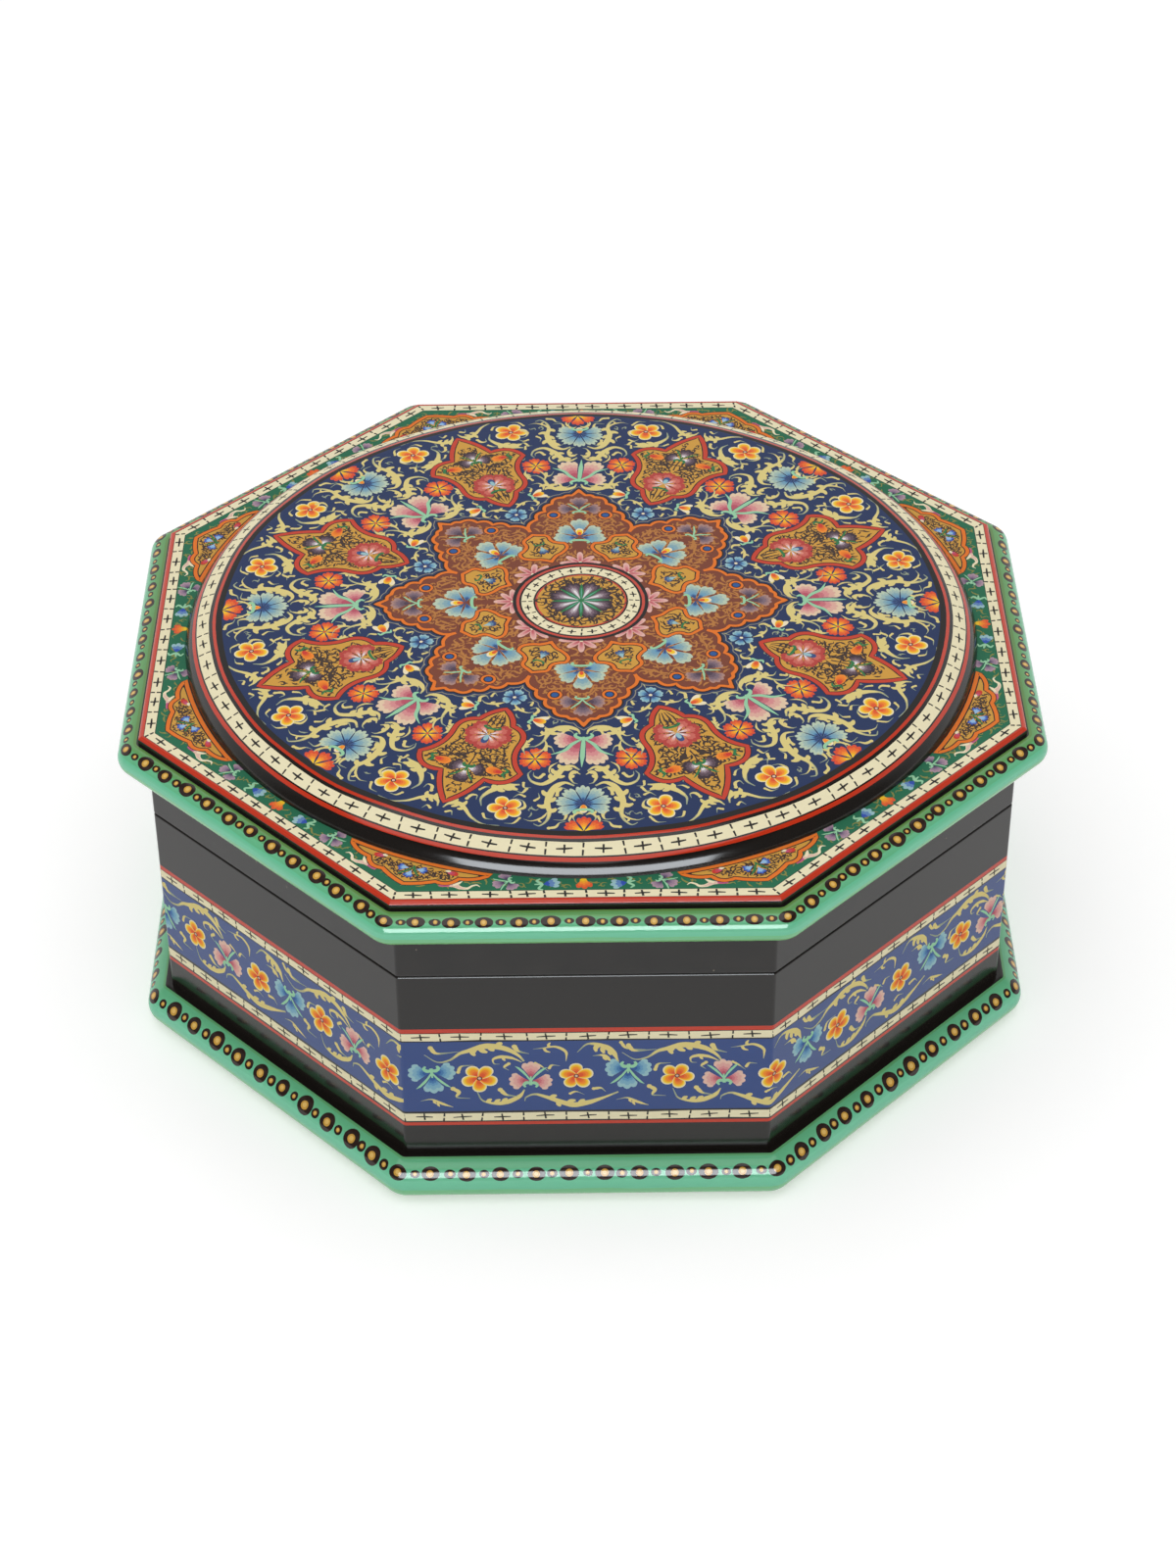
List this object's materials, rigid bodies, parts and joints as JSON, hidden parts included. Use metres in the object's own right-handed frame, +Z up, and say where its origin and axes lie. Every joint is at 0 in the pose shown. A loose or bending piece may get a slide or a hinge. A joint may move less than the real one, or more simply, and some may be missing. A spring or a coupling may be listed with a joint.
{
  "type": "papier mache box",
  "caption": "Octagonal papier mache box with a lift-off domed lid, painted all over with flower and arabesque ornament, for keeping small things.",
  "frame": {"origin": "middle of the underside, on the surface that the box stands on", "axes": "+Z up through the middle of the lid; one flat side faces -Y and one faces +X"},
  "size_m": [0.25, 0.25, 0.11],
  "materials": {
    "wall_lacquer": "glossy black lacquer, painted flower band",
    "skirt_lacquer": "glossy black lacquer",
    "lip_lacquer": "satin black lacquer",
    "floor_lacquer": "satin black lacquer",
    "lid_lacquer": "satin black lacquer",
    "green_moulding": "glossy green lacquer with painted dots",
    "green_painted_panel": "glossy lacquer over painted ornament",
    "blue_painted_dome": "glossy lacquer over painted ornament"
  },
  "bodies": {
    "box_base": {"floor_board": "floor_lacquer", "wall_board_1": "wall_lacquer", "wall_board_2": "wall_lacquer", "wall_board_3": "wall_lacquer", "wall_board_4": "wall_lacquer", "wall_board_5": "wall_lacquer", "wall_board_6": "wall_lacquer", "wall_board_7": "wall_lacquer", "wall_board_8": "wall_lacquer", "lip_board_1": "lip_lacquer", "lip_board_2": "lip_lacquer", "lip_board_3": "lip_lacquer", "lip_board_4": "lip_lacquer", "lip_board_5": "lip_lacquer", "lip_board_6": "lip_lacquer", "lip_board_7": "lip_lacquer", "lip_board_8": "lip_lacquer", "plinth_moulding_1": "green_moulding", "plinth_moulding_2": "green_moulding", "plinth_moulding_3": "green_moulding", "plinth_moulding_4": "green_moulding", "plinth_moulding_5": "green_moulding", "plinth_moulding_6": "green_moulding", "plinth_moulding_7": "green_moulding", "plinth_moulding_8": "green_moulding"},
    "lid": {"lid_top_board": "lid_lacquer", "lid_octagon_panel": "green_painted_panel", "lid_dome_panel": "blue_painted_dome", "lid_skirt_board_1": "skirt_lacquer", "lid_skirt_board_2": "skirt_lacquer", "lid_skirt_board_3": "skirt_lacquer", "lid_skirt_board_4": "skirt_lacquer", "lid_skirt_board_5": "skirt_lacquer", "lid_skirt_board_6": "skirt_lacquer", "lid_skirt_board_7": "skirt_lacquer", "lid_skirt_board_8": "skirt_lacquer", "rim_moulding_1": "green_moulding", "rim_moulding_2": "green_moulding", "rim_moulding_3": "green_moulding", "rim_moulding_4": "green_moulding", "rim_moulding_5": "green_moulding", "rim_moulding_6": "green_moulding", "rim_moulding_7": "green_moulding", "rim_moulding_8": "green_moulding"}
  },
  "joints": [
    {"name": "lid_lift", "type": "slide", "parent": "box_base", "child": "lid", "axis": [0, 0, 1], "range_m": [0, 0.12]}
  ]
}
